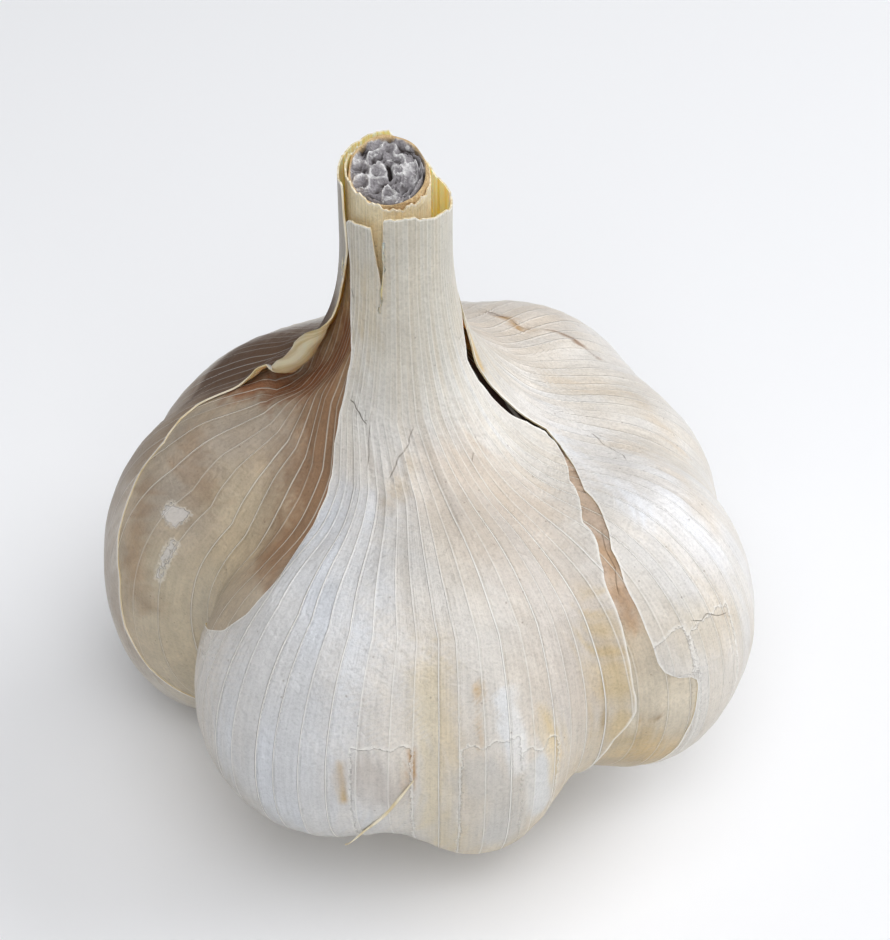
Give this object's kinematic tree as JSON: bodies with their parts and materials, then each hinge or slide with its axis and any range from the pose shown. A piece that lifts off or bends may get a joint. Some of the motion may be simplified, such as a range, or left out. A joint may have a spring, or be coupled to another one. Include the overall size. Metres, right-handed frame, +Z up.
{
  "type": "elephant garlic bulb",
  "caption": "Dried elephant garlic bulb with a cut neck, torn papery leaf skins over large leaning cloves, and a root plate that it stands on.",
  "frame": {"origin": "centre of the root plate's flat bottom, on the surface that the bulb stands on", "axes": "+Z up along the stalk, -Y towards the side with the two torn openings either side of it, +X to the right of that side"},
  "size_m": [0.0941, 0.0925, 0.0975],
  "materials": {
    "clove": "satin",
    "stalk": "matt, spongy",
    "root_plate": "matt, corky",
    "inner_skin": "papery, slightly silky",
    "outer_skin": "papery, slightly silky"
  },
  "bodies": {
    "root": {"clove_front_left": "clove", "clove_front_right": "clove", "clove_right": "clove", "clove_back_right": "clove", "clove_back": "clove", "clove_rear": "clove", "clove_back_left": "clove", "clove_left": "clove", "flower_stalk": "stalk", "root_plate": "root_plate", "inner_skin": "inner_skin", "outer_skin_front": "outer_skin", "outer_skin_back": "outer_skin"}
  },
  "joints": []
}
